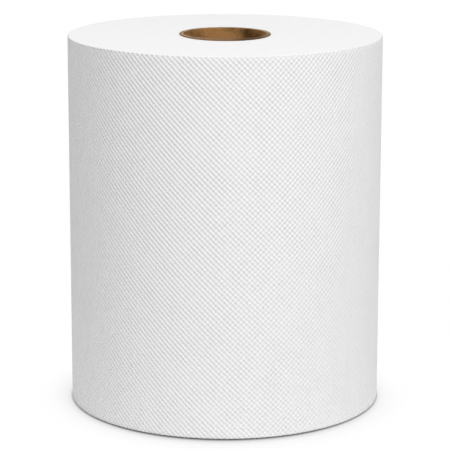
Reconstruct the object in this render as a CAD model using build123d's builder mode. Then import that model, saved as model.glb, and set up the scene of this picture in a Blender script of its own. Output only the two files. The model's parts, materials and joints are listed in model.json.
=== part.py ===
from build123d import *
import os

# A hard-wound paper towel roll: one long embossed web wound on a paperboard tube, standing on its end.
# The origin is on the roll's axis at its lower end. +Z runs up the axis and +Y points to the back.

# Wound web
ROLL_DIAMETER = 169.0
WEB_WIDTH = 200.0
WEB_CALIPER = 0.35
RIM_EASE = 0.6

# Turn lines on the ends: one line stands for a band of turns, since one turn is too thin to see
TURN_LINE_PITCH = 6.5
TURN_LINE_WIDTH = 0.7
TURN_LINE_DEPTH = 0.25
TURN_LINE_MARGIN = 3.0

# Paperboard tube
CORE_BORE = 44.5
CORE_WALL = 2.2
CORE_PROUD = 0.5
GLUE_LINE = 0.05

roll_radius = ROLL_DIAMETER / 2
web_bottom = CORE_PROUD
web_top = web_bottom + WEB_WIDTH
core_bore_radius = CORE_BORE / 2
core_outer_radius = core_bore_radius + CORE_WALL
core_length = WEB_WIDTH + 2 * CORE_PROUD
web_inner_radius = core_outer_radius + GLUE_LINE

first_line_radius = web_inner_radius + TURN_LINE_MARGIN
line_turns = int((roll_radius - TURN_LINE_MARGIN - first_line_radius) / TURN_LINE_PITCH)


def half_turn_plane(pitch, on_left):
    """The plane on which a half turn's section is drawn, with X outwards from its centre and Y up.

    Half circles make a spiral when those on the left have their centre half a pitch further forward.
    A half turn on the left starts at the back, and one on the right starts at the front.
    """
    if on_left:
        return Plane(origin=(0, -pitch / 2, 0), x_dir=(0, 1, 0), z_dir=(1, 0, 0))
    return Plane(origin=(0, 0, 0), x_dir=(0, -1, 0), z_dir=(-1, 0, 0))


def half_turn_axis(section_plane):
    return Axis(section_plane.origin, (0, 0, 1))


with BuildPart() as paper_roll:
    # The last turn rises by one caliper over the turn below it and ends in a straight edge at the back
    for on_left, radius in ((True, roll_radius - WEB_CALIPER / 2), (False, roll_radius)):
        section_plane = half_turn_plane(WEB_CALIPER, on_left)
        with BuildSketch(section_plane) as half_section:
            with Locations((0, web_bottom)):
                Rectangle(radius, WEB_WIDTH, align=(Align.MIN, Align.MIN))
            chamfer(half_section.vertices().group_by(Axis.X)[-1], RIM_EASE)
        revolve(axis=half_turn_axis(section_plane), revolution_arc=180)

    with BuildSketch(Plane.XY.offset(web_bottom)):
        Circle(web_inner_radius)
    extrude(amount=WEB_WIDTH, mode=Mode.SUBTRACT)

    # The edges of the turns show on both ends as one line, which winds outwards from the tube
    for turn in range(line_turns):
        for on_left in (True, False):
            line_radius = first_line_radius + (turn + (0.5 if on_left else 1)) * TURN_LINE_PITCH
            section_plane = half_turn_plane(TURN_LINE_PITCH, on_left)
            with BuildSketch(section_plane):
                for end_height, inwards in ((web_bottom, 1), (web_top, -1)):
                    with BuildLine():
                        Polyline(
                            (line_radius - TURN_LINE_WIDTH / 2, end_height),
                            (line_radius, end_height + inwards * TURN_LINE_DEPTH),
                            (line_radius + TURN_LINE_WIDTH / 2, end_height),
                            close=True,
                        )
                    make_face()
            revolve(axis=half_turn_axis(section_plane), revolution_arc=180, mode=Mode.SUBTRACT)

paper_roll.part.label = "paper_roll"


with BuildPart() as core_tube:
    with BuildSketch():
        Circle(core_outer_radius)
        Circle(core_bore_radius, mode=Mode.SUBTRACT)
    extrude(amount=core_length)

core_tube.part.label = "core_tube"


os.makedirs("parts", exist_ok=True)
export_step(paper_roll.part, "parts/paper_roll.step")
export_step(core_tube.part, "parts/core_tube.step")
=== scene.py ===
import json
import math

import bmesh
import bpy
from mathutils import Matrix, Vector, noise


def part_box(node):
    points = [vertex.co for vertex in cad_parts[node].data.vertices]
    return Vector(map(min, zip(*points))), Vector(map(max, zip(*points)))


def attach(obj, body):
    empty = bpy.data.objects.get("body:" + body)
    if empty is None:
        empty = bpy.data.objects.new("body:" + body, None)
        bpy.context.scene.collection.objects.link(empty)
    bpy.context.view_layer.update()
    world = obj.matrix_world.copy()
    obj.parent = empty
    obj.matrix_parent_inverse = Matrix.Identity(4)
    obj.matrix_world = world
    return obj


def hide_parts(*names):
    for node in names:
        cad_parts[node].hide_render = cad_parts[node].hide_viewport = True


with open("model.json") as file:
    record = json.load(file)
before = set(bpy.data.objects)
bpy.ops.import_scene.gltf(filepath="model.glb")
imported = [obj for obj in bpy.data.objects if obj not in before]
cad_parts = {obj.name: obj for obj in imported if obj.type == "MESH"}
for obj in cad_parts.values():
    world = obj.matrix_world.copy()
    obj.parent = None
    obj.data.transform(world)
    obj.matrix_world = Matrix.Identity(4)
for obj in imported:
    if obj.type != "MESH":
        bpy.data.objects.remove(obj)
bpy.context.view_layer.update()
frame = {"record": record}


# The wound web: one long ply of white towel, embossed all over with small dots in staggered rows
# and wound hard on its tube. Its last turn lies one caliper proud and ends in a straight glued edge
# at the back. The edges of all its turns show on both ends as one line that winds outwards.
WEB_CALIPER = 0.00035
GLUE_LINE = 0.00005
RIM_EASE = 0.0008
RIM_STEPS = 4
DOT_PITCH_ROUND = 0.00285
DOT_PITCH_UP = 0.0029
DOT_DEPTH = 0.00026
DOT_FLANK = 0.00025
DOT_UNEVENNESS = 0.35
UNEVEN_ROUND = 2.1
UNEVEN_UP = 0.036
TURN_LINE_PITCH = 0.0065
TURN_LINE_START = 0.0275
TURN_LINE_OFFSETS = (0.0, 0.00035, 0.00175, 0.0032, 0.0047, 0.00615)
TURN_LINE_DEPTHS = (0.00008, 0.0, 0.00003, 0.0, 0.00003, 0.0)
SEAT_DIP_WIDTH = 0.0065
SEAT_DIP_DEPTH = 0.0006
SEAT_DIP_AT = math.radians(-80)
ROUND_ROWS = (0.0, 0.0006, 0.0012)
FIRST_TURN = 0.0018
TAIL_ANGLE = math.pi / 2
TAIL_LIFT = 0.00015
TAIL_LIP = 0.009
TAIL_WAVE = 0.06
WELD = 0.000002
WEB_END_SLOPE = 0.5

PAPER_WHITE = (0.848, 0.846, 0.848, 1)
PAPER_SHADE = (0.829, 0.827, 0.829, 1)
PAPER_ROUGHNESS = 0.95
PAPER_SHINE = 0.2
PAPER_FELT = 0.00008
FELT_STRENGTH = 0.5
GRAIN_STRETCH = (1.0, 1.0, 0.45)
PATCH_SCALE = 70.0
PATCH_SPREAD = (0.3, 0.7)
PATCH_STRENGTH = (0.86, 1.14)
EDGE_STRENGTH = 0.3
EDGE_HEIGHT = 0.00006
BAND_SCALE = 900.0

web_low, web_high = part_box("paper_roll")
tube_low, tube_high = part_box("core_tube")
roll_radius = web_high.y
web_seat_radius = tube_high.x + GLUE_LINE
first_turn_radius = web_seat_radius + FIRST_TURN
last_turn_radius = roll_radius - RIM_EASE - WEB_CALIPER
dots_round = round(2 * math.pi * roll_radius / DOT_PITCH_ROUND)
side_low = web_low.z + RIM_EASE
side_high = web_high.z - RIM_EASE
dots_up = round((side_high - side_low) / DOT_PITCH_UP)
columns = 2 * dots_round
rows = 2 * dots_up
row_height = (side_high - side_low) / rows


def spiral_radius(start, pitch, part_turn):
    """Radius after part of a turn, 0 to 1 from the back, of the spiral that two half circles make."""
    if part_turn >= 0.5:
        return start + pitch
    angle = TAIL_ANGLE + 2 * math.pi * part_turn
    half = pitch / 2
    return math.sqrt((start + half) ** 2 - (half * math.cos(angle)) ** 2) - half * math.sin(angle)


def end_rows():
    """Radius at the start of a turn, and depth, of each row of points across an end of the roll."""
    found = [(web_seat_radius + out, 0.0) for out in ROUND_ROWS]
    band = math.floor((web_seat_radius - TURN_LINE_START) / TURN_LINE_PITCH) - 1
    while TURN_LINE_START + band * TURN_LINE_PITCH < last_turn_radius:
        for offset, depth in zip(TURN_LINE_OFFSETS, TURN_LINE_DEPTHS):
            found.append((TURN_LINE_START + band * TURN_LINE_PITCH + offset, depth))
        band += 1
    return found + [(last_turn_radius, 0.0)]


def end_point(row, start, depth, part_turn):
    """Radius and depth of a point on an end, where turns wind outwards from the tube to the last turn.

    The first rows are round, and the turns next to the tube sink a little along it, more so in front.
    """
    radius = start
    if row >= len(ROUND_ROWS):
        radius = spiral_radius(start, TURN_LINE_PITCH, part_turn)
        radius = min(max(radius, first_turn_radius), last_turn_radius)
        fade = min(radius - first_turn_radius, last_turn_radius - radius) / TURN_LINE_OFFSETS[1]
        depth *= min(1.0, fade)
    from_tube = min(1.0, (radius - web_seat_radius) / SEAT_DIP_WIDTH)
    slipped = 0.5 + 0.5 * math.cos(TAIL_ANGLE + 2 * math.pi * part_turn - SEAT_DIP_AT)
    return radius, depth + SEAT_DIP_DEPTH * (slipped * (1 - from_tube)) ** 2


def side_radius(column, row, eased):
    """Radius of a point on the side, on a dot or in a hollow; eased is how far it is in from the rim.

    The hollows are of uneven depth, and the last turn lifts a little, in waves, towards its edge.
    """
    part_turn = column / columns
    radius = spiral_radius(roll_radius - WEB_CALIPER, WEB_CALIPER, part_turn) - eased
    at_rim = 1 - eased / RIM_EASE
    angle = TAIL_ANGLE + 2 * math.pi * part_turn
    where = Vector((math.cos(angle) * UNEVEN_ROUND, math.sin(angle) * UNEVEN_ROUND, row * UNEVEN_UP))
    if (column + row) % 2 == 1:
        radius -= DOT_DEPTH * (1 + DOT_UNEVENNESS * noise.noise(where)) * at_rim
    to_tail = (1 - part_turn) * 2 * math.pi * roll_radius
    if to_tail < TAIL_LIP:
        wave = 1 + noise.noise(Vector((0, 0, row * TAIL_WAVE)))
        radius += TAIL_LIFT * (1 - to_tail / TAIL_LIP) ** 2 * wave * at_rim
    return radius


def shape_web():
    """Lays the web's skin out flat as a grid, then winds it round the axis, embossed, and closes it."""
    ends = end_rows()
    rim = [math.radians(90 * step / RIM_STEPS) for step in range(RIM_STEPS)]
    rim_rows = [(RIM_EASE * (1 - math.sin(turn)), RIM_EASE * (1 - math.cos(turn))) for turn in rim]
    side_rows = rim_rows + [(0.0, RIM_EASE + row * row_height) for row in range(rows + 1)]
    side_rows += [(eased, web_high.z - web_low.z - risen) for eased, risen in reversed(rim_rows)]
    last_row = 2 * len(ends) + len(side_rows) - 1

    bm = bmesh.new()
    bmesh.ops.create_grid(bm, x_segments=columns, y_segments=last_row, size=0.5)
    for point in bm.verts:
        column = round((point.co.x + 0.5) * columns)
        row = round((point.co.y + 0.5) * last_row)
        if row < len(ends):
            radius, depth = end_point(row, *ends[row], column / columns)
            height = web_low.z + depth
        elif row > last_row - len(ends):
            radius, depth = end_point(last_row - row, *ends[last_row - row], column / columns)
            height = web_high.z - depth
        else:
            eased, risen = side_rows[row - len(ends)]
            radius = side_radius(column, row - len(ends) - RIM_STEPS, eased)
            height = web_low.z + risen
        angle = TAIL_ANGLE + 2 * math.pi * column / columns
        point.co = (radius * math.cos(angle), radius * math.sin(angle), height)
    bmesh.ops.remove_doubles(bm, verts=bm.verts[:], dist=WELD)

    tail = [edge for edge in bm.edges if edge.is_boundary
            and min(Vector(point.co.xy).length for point in edge.verts) > web_seat_radius + WEB_CALIPER]
    for edge in tail:
        edge.smooth = False
    tail_wall = bmesh.ops.edgeloop_fill(bm, edges=tail)["faces"]
    bmesh.ops.triangulate(bm, faces=tail_wall)
    bore = [edge for edge in bm.edges if edge.is_boundary]
    for edge in bore:
        edge.smooth = False
    bmesh.ops.bridge_loops(bm, edges=bore)
    bmesh.ops.recalc_face_normals(bm, faces=bm.faces[:])
    bmesh.ops.triangulate(bm, faces=bm.faces[:], quad_method="LONG_EDGE")
    for face in bm.faces:
        face.smooth = True
        across = Vector(face.calc_center_median().xy).length
        on_end = across < last_turn_radius and abs(face.normal.z) > WEB_END_SLOPE
        face.material_index = 1 if on_end else 0
    return bm


def place(bm, name):
    """Makes a mesh object of a finished bmesh, at the origin."""
    mesh = bpy.data.meshes.new(name)
    bm.to_mesh(mesh)
    bm.free()
    piece = bpy.data.objects.new(name, mesh)
    bpy.context.collection.objects.link(piece)
    return piece


def add(tree, kind, inputs=(), **settings):
    """Adds a node, with settings, and gives its sockets values or links them to other sockets."""
    node = tree.nodes.new(kind)
    for name, value in settings.items():
        setattr(node, name, value)
    for socket, value in inputs:
        if isinstance(value, bpy.types.NodeSocket):
            tree.links.new(value, node.inputs[socket])
        else:
            node.inputs[socket].default_value = value
    return node


def calc(tree, operation, *values):
    """Adds a Math node and gives its result."""
    return add(tree, "ShaderNodeMath", enumerate(values), operation=operation).outputs[0]


def ramp(tree, value, start, end, low=0.0, high=1.0):
    """Adds a Map Range node, which goes from low to high while its value goes from start to end."""
    node = add(tree, "ShaderNodeMapRange", (
        ("Value", value), ("From Min", start), ("From Max", end), ("To Min", low), ("To Max", high)))
    return node.outputs[0]


def mix(tree, factor, first, second):
    """Adds a Mix node for two colours and gives its result."""
    return add(tree, "ShaderNodeMix", (
        ("Factor", factor), ("A", first), ("B", second)), data_type="RGBA").outputs["Result"]


def place_in(tree):
    """Gives the place of the shaded point in the object's own frame."""
    return tree.nodes.new("ShaderNodeTexCoord").outputs["Object"]


def new_group(name, inputs, outputs):
    """Starts a node group with number inputs, each with its usual value, and number outputs."""
    group = bpy.data.node_groups.new(name, "ShaderNodeTree")
    for socket, value in inputs:
        made = group.interface.new_socket(name=socket, in_out="INPUT", socket_type="NodeSocketFloat")
        made.default_value = value
    for socket in outputs:
        group.interface.new_socket(name=socket, in_out="OUTPUT", socket_type="NodeSocketFloat")
    given = group.nodes.new("NodeGroupInput").outputs
    result = group.nodes.new("NodeGroupOutput").inputs
    return group, given, result


def use_group(tree, group, **values):
    """Adds a node group to a material's tree, with values for its inputs, and gives its outputs."""
    node = tree.nodes.new("ShaderNodeGroup")
    node.node_tree = group
    for name, value in values.items():
        node.inputs[name.replace("_", " ").title()].default_value = value
    return node.outputs


def new_material(name):
    """Starts a material and gives its tree and its Principled shader."""
    material = bpy.data.materials.new(name)
    material.use_nodes = True
    return material, material.node_tree, material.node_tree.nodes["Principled BSDF"]


def make_fibre_group():
    """Pulp fibres: Tone is soft clouding, Grain is the fine felted surface, stretched up the web."""
    group, given, result = new_group(
        "fibre", (("Cloud Scale", 90.0), ("Grain Scale", 2600.0)), ("Tone", "Grain"))
    here = place_in(group)
    stretched = add(group, "ShaderNodeMapping", (("Vector", here), ("Scale", GRAIN_STRETCH)))
    cloud = add(group, "ShaderNodeTexNoise", (
        ("Vector", here), ("Scale", given["Cloud Scale"]), ("Detail", 4.0), ("Roughness", 0.6)))
    grain = add(group, "ShaderNodeTexNoise", (
        ("Vector", stretched.outputs[0]), ("Scale", given["Grain Scale"]), ("Detail", 3.0),
        ("Roughness", 0.6)))
    group.links.new(cloud.outputs["Fac"], result["Tone"])
    group.links.new(grain.outputs["Fac"], result["Grain"])
    return group


def make_emboss_group():
    """Staggered dots round a roll: Height runs from -1 in a hollow to 1 on a dot, more in some patches."""
    group, given, result = new_group(
        "dot_emboss", (("Dots Round", 186.0), ("Row Pitch", 0.0029), ("First Row", 0.0)), ("Height",))
    here = place_in(group)
    parts = add(group, "ShaderNodeSeparateXYZ", ((0, here),)).outputs
    angle = calc(group, "ARCTAN2", parts["Y"], parts["X"])
    from_tail = calc(group, "SUBTRACT", angle, TAIL_ANGLE)
    round_wave = calc(group, "COSINE", calc(group, "MULTIPLY", from_tail, given["Dots Round"]))
    above = calc(group, "SUBTRACT", parts["Z"], given["First Row"])
    up = calc(group, "MULTIPLY", calc(group, "DIVIDE", above, given["Row Pitch"]), 2 * math.pi)
    dots = calc(group, "MULTIPLY", round_wave, calc(group, "COSINE", up))
    patches = add(group, "ShaderNodeTexNoise", (
        ("Vector", here), ("Scale", PATCH_SCALE), ("Detail", 3.0), ("Roughness", 0.65)))
    strength = ramp(group, patches.outputs["Fac"], *PATCH_SPREAD, *PATCH_STRENGTH)
    group.links.new(calc(group, "MULTIPLY", dots, strength), result["Height"])
    return group


def make_turn_group():
    """Edges of the wound turns on an end: Height falls to 0 in the line between two turns.

    Band is a tone that varies outwards from turn to turn.
    """
    group, given, result = new_group("turn_edges", (("Turn Pitch", 0.0007),), ("Height", "Band"))
    parts = add(group, "ShaderNodeSeparateXYZ", ((0, place_in(group)),)).outputs
    flat = add(group, "ShaderNodeCombineXYZ", (("X", parts["X"]), ("Y", parts["Y"])))
    radius = add(group, "ShaderNodeVectorMath", ((0, flat.outputs[0]),), operation="LENGTH").outputs["Value"]
    angle = calc(group, "ARCTAN2", parts["Y"], parts["X"])
    turns = calc(group, "SUBTRACT", calc(group, "DIVIDE", radius, given["Turn Pitch"]),
                 calc(group, "DIVIDE", angle, 2 * math.pi))
    wave = calc(group, "ABSOLUTE", calc(group, "SINE", calc(group, "MULTIPLY", turns, math.pi)))
    group.links.new(wave, result["Height"])
    band_noise = add(group, "ShaderNodeTexNoise", (
        ("W", calc(group, "MULTIPLY", radius, BAND_SCALE)), ("Detail", 3.0)), noise_dimensions="1D")
    group.links.new(band_noise.outputs["Fac"], result["Band"])
    return group


fibre_group = make_fibre_group()


def finish_matt(tree, shader, colour, grain, felt_height, roughness, shine):
    """Gives a shader its colour, a felted surface and a matt finish, and gives back the felt's node."""
    felt = add(tree, "ShaderNodeBump", (
        ("Height", grain), ("Strength", FELT_STRENGTH), ("Distance", felt_height)))
    tree.links.new(colour, shader.inputs["Base Color"])
    tree.links.new(felt.outputs[0], shader.inputs["Normal"])
    shader.inputs["Roughness"].default_value = roughness
    shader.inputs["Specular IOR Level"].default_value = shine
    return felt


def finish_web_side():
    """Matt white towel with its embossed dots and felted grain."""
    material, tree, shader = new_material("towel_side")
    fibre = use_group(tree, fibre_group)
    emboss = use_group(
        tree, make_emboss_group(), dots_round=float(dots_round), row_pitch=2 * row_height, first_row=side_low)
    dots = add(tree, "ShaderNodeBump", (
        ("Height", emboss["Height"]), ("Strength", 1.0), ("Distance", DOT_FLANK)))
    colour = mix(tree, fibre["Tone"], PAPER_SHADE, PAPER_WHITE)
    felt = finish_matt(tree, shader, colour, fibre["Grain"], PAPER_FELT, PAPER_ROUGHNESS, PAPER_SHINE)
    tree.links.new(dots.outputs[0], felt.inputs["Normal"])
    return material


def finish_web_ends():
    """The cut edges of the turns, packed side by side."""
    material, tree, shader = new_material("towel_turn_edges")
    fibre = use_group(tree, fibre_group)
    turns = use_group(tree, make_turn_group())
    edges = add(tree, "ShaderNodeBump", (
        ("Height", turns["Height"]), ("Strength", EDGE_STRENGTH), ("Distance", EDGE_HEIGHT)))
    colour = mix(tree, turns["Band"], PAPER_SHADE, PAPER_WHITE)
    felt = finish_matt(tree, shader, colour, fibre["Grain"], PAPER_FELT, PAPER_ROUGHNESS, PAPER_SHINE)
    tree.links.new(edges.outputs[0], felt.inputs["Normal"])
    return material


web = place(shape_web(), "wound_web")
web.data.materials.append(finish_web_side())
web.data.materials.append(finish_web_ends())
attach(web, "root")
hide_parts("paper_roll")


# The tube: strips of brown paperboard wound on a slant and glued ply over ply, then cut to length,
# with the first turn of the web glued to it. A helical line on each wall shows where the edges of a
# strip meet. The cut ends are paler, rough and worn. The outside is darker, from glue and as painted
# shade of the crevice under the web, and at the front right the cut ends and the outside are painted
# dark as shade.
TUBE_COLUMNS = 144
SEAM_PITCH = 0.095
SEAM_ROWS = ((0.0, 0.0), (0.0004, 0.0), (0.00055, 0.0002), (0.0009, 0.0002), (0.00105, 0.0),
             (0.0015, 0.0), (0.025, 0.0), (0.048, 0.0), (0.071, 0.0))
INNER_SEAM_START = 0.060
OUTER_SEAM_START = 0.050
CUT_EASE = 0.00022
CUT_ROUGHNESS = 0.00018
CUT_WEAR_SCALE = 500
CUT_PULP_SCALE = 350
CUT_SNAP = 0.00001
CUT_END_SLOPE = 0.3
BOARD_BROWN = (0.430, 0.226, 0.083, 1)
BOARD_DARK = (0.10, 0.045, 0.0145, 1)
# The outside's darker brown: partly glue, partly painted shade of the crevice under the web.
BOARD_GLUED_AND_SHADED = (0.215, 0.128, 0.071, 1)
# Painted shade: the dark brown that the front right of the cut ends and of the outside is mixed towards.
BOARD_PAINTED_SHADE = (0.10, 0.058, 0.030, 1)
BOARD_SPREAD = (0.36, 0.575)
BOARD_FELT = 0.00012
BOARD_ROUGHNESS = 0.9
BOARD_SHINE = 0.06
BOARD_GRAIN_SCALE = 1800.0
BLOTCH_SCALE = 70.0
BLOTCH_SEED = 6.5
BLOTCH_TURN = 0.11
BLOTCH_SHARE = 0.75
STRIP_STRETCH = (1.0, 1.0, 3.0)
# The band on the outside that is darker from glue and as painted crevice shade.
GLUE_AND_SHADE_START = 0.0006
GLUE_AND_SHADE_FULL = 0.0002
GLUE_AND_SHADE_SHARE = 0.85
# Where the painted shade falls: round the front right of the tube.
PAINTED_SHADE_AT = math.radians(-55)
PAINTED_SHADE_SPREAD = (math.cos(math.radians(28)), math.cos(math.radians(12)))
FLECK_SCALE = 0.7
FLECK_REACH = (0.05, 0.22)
FLECK_SHARE = 0.5
CUT_BROWN = (0.38, 0.275, 0.175, 1)
CUT_DARK = (0.08, 0.050, 0.026, 1)
CUT_FELT = 0.0002
CUT_BLOTCH_SCALE = 35.0
CUT_BLOTCH_SEED = 14.0

bore_mount = next(mount for mount in frame["record"]["mounts"] if mount["name"] == "core_bore")
bore_radius = bore_mount["dims"]["r_mm"] / 1000
tube_radius = tube_high.x


def wind_ply(bm, radius, into_board, seam_start):
    """Winds a strip on a slant into one wall of the tube; into_board is the seam's direction, 1 or -1."""
    turns = math.ceil(tube_high.z / SEAM_PITCH) + 2
    rows_per_turn = len(SEAM_ROWS)
    last_row = turns * rows_per_turn
    ply = bmesh.ops.create_grid(bm, x_segments=TUBE_COLUMNS, y_segments=last_row, size=0.5)["verts"]
    for point in ply:
        column = round((point.co.x + 0.5) * TUBE_COLUMNS)
        turn, row = divmod(round((point.co.y + 0.5) * last_row), rows_per_turn)
        up, depth = SEAM_ROWS[row]
        angle = 2 * math.pi * column / TUBE_COLUMNS
        height = tube_low.z + (turn - 1 + column / TUBE_COLUMNS) * SEAM_PITCH - seam_start + up
        reach = radius + into_board * depth
        point.co = (reach * math.cos(angle), reach * math.sin(angle), height)


def shape_tube():
    """The two walls, cut square to length, joined over the cut ends, whose edges are worn and rough."""
    bm = bmesh.new()
    wind_ply(bm, bore_radius, 1, INNER_SEAM_START)
    wind_ply(bm, tube_radius, -1, OUTER_SEAM_START)
    bmesh.ops.remove_doubles(bm, verts=bm.verts[:], dist=WELD)
    mid_wall = (bore_radius + tube_radius) / 2
    for end, outwards in ((tube_low.z, -1), (tube_high.z, 1)):
        for short_of_end in (2 * CUT_EASE, CUT_EASE, 0):
            bmesh.ops.bisect_plane(
                bm, geom=bm.verts[:] + bm.edges[:] + bm.faces[:], dist=CUT_SNAP,
                plane_co=(0, 0, end - outwards * short_of_end), plane_no=(0, 0, outwards),
                clear_outer=short_of_end == 0)
        cut = [edge for edge in bm.edges
               if edge.is_boundary and abs(edge.verts[0].co.z - end) < CUT_EASE / 2]
        for point in {point for edge in cut for point in edge.verts}:
            across = Vector(point.co.xy)
            worn = CUT_EASE + CUT_ROUGHNESS * noise.noise(point.co * CUT_WEAR_SCALE)
            across *= 1 + worn * (1 if across.length < mid_wall else -1) / across.length
            sunk = CUT_ROUGHNESS * (0.5 + 0.5 * noise.noise(point.co * CUT_PULP_SCALE))
            point.co = (across.x, across.y, end - outwards * max(0.0, sunk))
        bmesh.ops.triangle_fill(bm, edges=cut, use_beauty=True, normal=(0, 0, outwards))
    bmesh.ops.recalc_face_normals(bm, faces=bm.faces[:])
    for face in bm.faces:
        face.smooth = True
        face.material_index = 1 if abs(face.normal.z) > CUT_END_SLOPE else 0
    return bm


def make_board_group():
    """Paperboard: Tone is blotches and fibres lying round the tube, Fleck is a few short dark fibres.

    Outer is 1 on the outside of the tube, which is darker from glue and as painted shade of the crevice
    under the web. The last output is painted shade: 1 at the front right, where the cut ends and the
    outside are painted dark.
    """
    group, given, result = new_group(
        "board", (("Blotch Scale", 70.0), ("Blotch Seed", 0.0), ("Fibre Scale", 900.0)),
        ("Tone", "Fleck", "Outer", "Painted Shade"))
    here = place_in(group)
    turned = add(group, "ShaderNodeMapping", (("Vector", here), ("Rotation", (0.0, 0.0, BLOTCH_TURN))))
    blotch = add(group, "ShaderNodeTexNoise", (
        ("Vector", turned.outputs[0]), ("W", given["Blotch Seed"]), ("Scale", given["Blotch Scale"]),
        ("Detail", 4.0), ("Roughness", 0.55)), noise_dimensions="4D")
    along = add(group, "ShaderNodeMapping", (("Vector", here), ("Scale", STRIP_STRETCH)))
    fibres = add(group, "ShaderNodeTexNoise", (
        ("Vector", along.outputs[0]), ("Scale", given["Fibre Scale"]), ("Detail", 3.0), ("Roughness", 0.6)))
    tone = calc(group, "ADD", calc(group, "MULTIPLY", blotch.outputs["Fac"], BLOTCH_SHARE),
                calc(group, "MULTIPLY", fibres.outputs["Fac"], 1 - BLOTCH_SHARE))
    group.links.new(ramp(group, tone, *BOARD_SPREAD), result["Tone"])

    flat = add(group, "ShaderNodeVectorMath", ((0, here), (1, (1.0, 1.0, 0.0))), operation="MULTIPLY")
    across = add(group, "ShaderNodeVectorMath", ((0, flat.outputs[0]),), operation="LENGTH").outputs["Value"]
    # Outer marks the outside wall, whose darker colour is glue and painted crevice shade.
    outer = ramp(group, across, tube_radius - GLUE_AND_SHADE_START, tube_radius - GLUE_AND_SHADE_FULL)
    group.links.new(outer, result["Outer"])
    # Painted shade: 1 towards the front right, 0 elsewhere.
    to_painted_shade = (math.cos(PAINTED_SHADE_AT), math.sin(PAINTED_SHADE_AT), 0.0)
    towards = add(group, "ShaderNodeVectorMath", (
        (0, flat.outputs[0]), (1, to_painted_shade)), operation="DOT_PRODUCT")
    facing = calc(group, "DIVIDE", towards.outputs["Value"], across)
    group.links.new(ramp(group, facing, *PAINTED_SHADE_SPREAD), result["Painted Shade"])

    cells = add(group, "ShaderNodeTexVoronoi", (
        ("Vector", along.outputs[0]), ("Scale", calc(group, "MULTIPLY", given["Fibre Scale"], FLECK_SCALE))))
    fleck = ramp(group, cells.outputs["Distance"], *FLECK_REACH, 1.0, 0.0)
    group.links.new(fleck, result["Fleck"])
    return group


board_group = make_board_group()


def finish_board(name, light, dark, blotch_scale, blotch_seed, felt_height, is_cut):
    """Matt brown board, blotched, fibrous; darker outside from glue and painted crevice shade; painted shade
    at front right.
    """
    material, tree, shader = new_material(name)
    board = use_group(tree, board_group, blotch_scale=blotch_scale, blotch_seed=blotch_seed)
    fibre = use_group(tree, fibre_group, grain_scale=BOARD_GRAIN_SCALE)
    colour = mix(tree, board["Tone"], dark, light)
    colour = mix(tree, calc(tree, "MULTIPLY", board["Fleck"], FLECK_SHARE), colour, dark)
    # Glue and painted crevice shade: the outside is mixed towards a darker brown.
    colour = mix(tree, calc(tree, "MULTIPLY", board["Outer"], GLUE_AND_SHADE_SHARE), colour, BOARD_GLUED_AND_SHADED)
    # Painted shade: the front right is mixed towards a dark brown, over a whole cut end and on the outside.
    painted_shade = calc(tree, "MULTIPLY", board["Painted Shade"], 1.0 if is_cut else board["Outer"])
    colour = mix(tree, painted_shade, colour, BOARD_PAINTED_SHADE)
    finish_matt(tree, shader, colour, fibre["Grain"], felt_height, BOARD_ROUGHNESS, BOARD_SHINE)
    return material


tube = place(shape_tube(), "paperboard_tube")
tube.data.materials.append(finish_board(
    "brown_board", BOARD_BROWN, BOARD_DARK, BLOTCH_SCALE, BLOTCH_SEED, BOARD_FELT, False))
tube.data.materials.append(finish_board(
    "board_cut_end", CUT_BROWN, CUT_DARK, CUT_BLOTCH_SCALE, CUT_BLOTCH_SEED, CUT_FELT, True))
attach(tube, "root")
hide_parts("core_tube")


# The floor: a plain matt white sheet, seen as pure white but for a soft shadow round the roll, which
# is darkest along the line where the roll stands; it is painted, as rings of dimmer glow, over a little
# of the roll's real shadow. As it lights the roll, it is greyer farther away.
FLOOR_SIZE = 14.0
FLOOR_NEAR = (0.84, 0.84, 0.84, 1)
FLOOR_FAR = (0.68, 0.68, 0.68, 1)
FLOOR_FADE = (0.09, 0.30)
# Painted shadow: rings of dimmer glow round the roll's foot, centred a little in front, and dimmer under its
# edge.
PAINTED_SHADOW_SHIFT = (-0.0003, -0.0045, 0.0)
PAINTED_SHADOW_RINGS = ((-0.0060, 0.12), (-0.0045, 0.30), (-0.0028, 0.62), (-0.0010, 0.80), (0.0006, 0.86),
                (0.0025, 0.94), (0.0060, 0.975), (0.0120, 1.0))
GLOW_UNDER = 0.45
GLOW_EDGE = (-0.0003, 0.0009)
GLOW_START = 0.8
GLOW_FULL = 0.02
WHITE = (1, 1, 1, 1)


def is_seen(tree):
    """Gives 1 to a ray that sees, straight or by a shiny or clear surface, and 0 to one that lights."""
    path = tree.nodes.new("ShaderNodeLightPath").outputs
    return calc(tree, "MAXIMUM", path["Is Camera Ray"],
                calc(tree, "MAXIMUM", path["Is Glossy Ray"], path["Is Transmission Ray"]))


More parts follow.
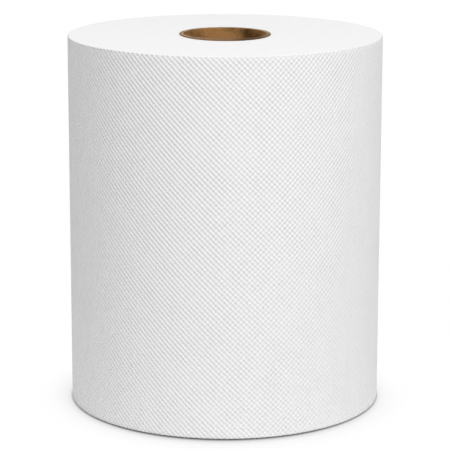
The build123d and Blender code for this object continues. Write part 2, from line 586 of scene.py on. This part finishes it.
def make_floor():
    """The sheet: matt where it lights the roll; where seen it glows by the rings' levels, a painted shadow.
    """
    bm = bmesh.new()
    bmesh.ops.create_grid(bm, x_segments=1, y_segments=1, size=FLOOR_SIZE / 2)
    floor = place(bm, "floor")
    material = bpy.data.materials.new("floor_white")
    material.use_nodes = True
    tree = material.node_tree
    tree.nodes.clear()
    here = place_in(tree)
    from_axis = add(tree, "ShaderNodeVectorMath", ((0, here),), operation="LENGTH").outputs["Value"]
    colour = mix(tree, ramp(tree, from_axis, *FLOOR_FADE), FLOOR_NEAR, FLOOR_FAR)
    matt = add(tree, "ShaderNodeBsdfDiffuse", (("Color", colour),))

    shifted = add(tree, "ShaderNodeVectorMath", ((0, here), (1, PAINTED_SHADOW_SHIFT)), operation="SUBTRACT")
    distance = add(tree, "ShaderNodeVectorMath", ((0, shifted.outputs[0]),), operation="LENGTH")
    beyond = calc(tree, "SUBTRACT", distance.outputs["Value"], roll_radius)
    # Painted shadow: the glow dims in rings towards the foot, and more under the roll's edge.
    painted_shadow_level = PAINTED_SHADOW_RINGS[0][1]
    for (inner, darker), (outer, lighter) in zip(PAINTED_SHADOW_RINGS, PAINTED_SHADOW_RINGS[1:]):
        painted_shadow_level = calc(tree, "ADD", painted_shadow_level, ramp(tree, beyond, inner, outer, 0.0, lighter - darker))
    edge = ramp(tree, calc(tree, "SUBTRACT", from_axis, roll_radius), *GLOW_EDGE, GLOW_UNDER, 1.0)
    glow = add(tree, "ShaderNodeEmission", (
        ("Color", WHITE), ("Strength", calc(tree, "MULTIPLY", painted_shadow_level, edge))))

    first = ramp(tree, beyond, -GLOW_FULL, PAINTED_SHADOW_RINGS[0][0], 0.0, GLOW_START)
    rest = ramp(tree, beyond, 0.0, GLOW_FULL, 0.0, 1 - GLOW_START)
    share = calc(tree, "MULTIPLY", is_seen(tree), calc(tree, "ADD", first, rest))
    mixed = add(tree, "ShaderNodeMixShader", ((0, share), (1, matt.outputs[0]), (2, glow.outputs[0])))
    output = tree.nodes.new("ShaderNodeOutputMaterial")
    tree.links.new(mixed.outputs[0], output.inputs["Surface"])
    floor.data.materials.append(material)
    return floor


make_floor()


# Studio light: an even surround, seen as white, with one large soft lamp high in front, a little to
# the right, and a weaker one low behind, on the left, which lights the back and the far left edge.
SURROUND = 0.5
KEY_AZIMUTH = math.radians(20)
KEY_HEIGHT = math.radians(49)
KEY_DISTANCE = 2.2
KEY_SIZE = 1.3
KEY_POWER = 33.2
BACK_AZIMUTH = math.radians(-145)
BACK_HEIGHT = math.radians(20)
BACK_DISTANCE = 2.0
BACK_SIZE = 1.2
BACK_POWER = 11.0


def make_surround():
    """The white room round the roll."""
    world = bpy.data.worlds.new("surround")
    bpy.context.scene.world = world
    world.use_nodes = True
    tree = world.node_tree
    tree.nodes.clear()
    strength = ramp(tree, is_seen(tree), 0.0, 1.0, SURROUND, 1.0)
    light = add(tree, "ShaderNodeBackground", (("Color", WHITE), ("Strength", strength)))
    output = tree.nodes.new("ShaderNodeOutputWorld")
    tree.links.new(light.outputs[0], output.inputs["Surface"])


def make_lamp(name, azimuth, height, distance, size, power, aim):
    """A square soft lamp, turned to its aim; azimuth runs to the right from the camera's side."""
    lamp = bpy.data.lights.new(name, "AREA")
    lamp.shape = "SQUARE"
    lamp.size = size
    lamp.energy = power
    holder = bpy.data.objects.new(name, lamp)
    bpy.context.collection.objects.link(holder)
    across = math.cos(height)
    back = Vector((math.sin(azimuth) * across, -math.cos(azimuth) * across, math.sin(height)))
    holder.location = aim + back * distance
    holder.rotation_euler = back.to_track_quat("Z", "Y").to_euler()


make_surround()
roll_middle = Vector((0, 0, (web_low.z + web_high.z) / 2))
make_lamp("key", KEY_AZIMUTH, KEY_HEIGHT, KEY_DISTANCE, KEY_SIZE, KEY_POWER, roll_middle)
make_lamp("back", BACK_AZIMUTH, BACK_HEIGHT, BACK_DISTANCE, BACK_SIZE, BACK_POWER, roll_middle)


# The camera looks a little down on the roll from the front, through a long lens.
CAMERA_BACK = 1.1463
CAMERA_UP = 0.3567
CAMERA_RIGHT = -0.00025
CAMERA_DOWNWARD = math.radians(12.846)
CAMERA_ROLL = math.radians(-0.09)
CAMERA_LENS = 171.86
CAMERA_SENSOR = 36

camera = bpy.data.objects.new("camera", bpy.data.cameras.new("camera"))
bpy.context.collection.objects.link(camera)
camera.location = (CAMERA_RIGHT, -CAMERA_BACK, CAMERA_UP)
camera.rotation_euler = (math.pi / 2 - CAMERA_DOWNWARD, CAMERA_ROLL, 0)
camera.data.sensor_width = CAMERA_SENSOR
camera.data.lens = CAMERA_LENS
bpy.context.scene.camera = camera
bpy.context.scene.view_settings.view_transform = "Standard"
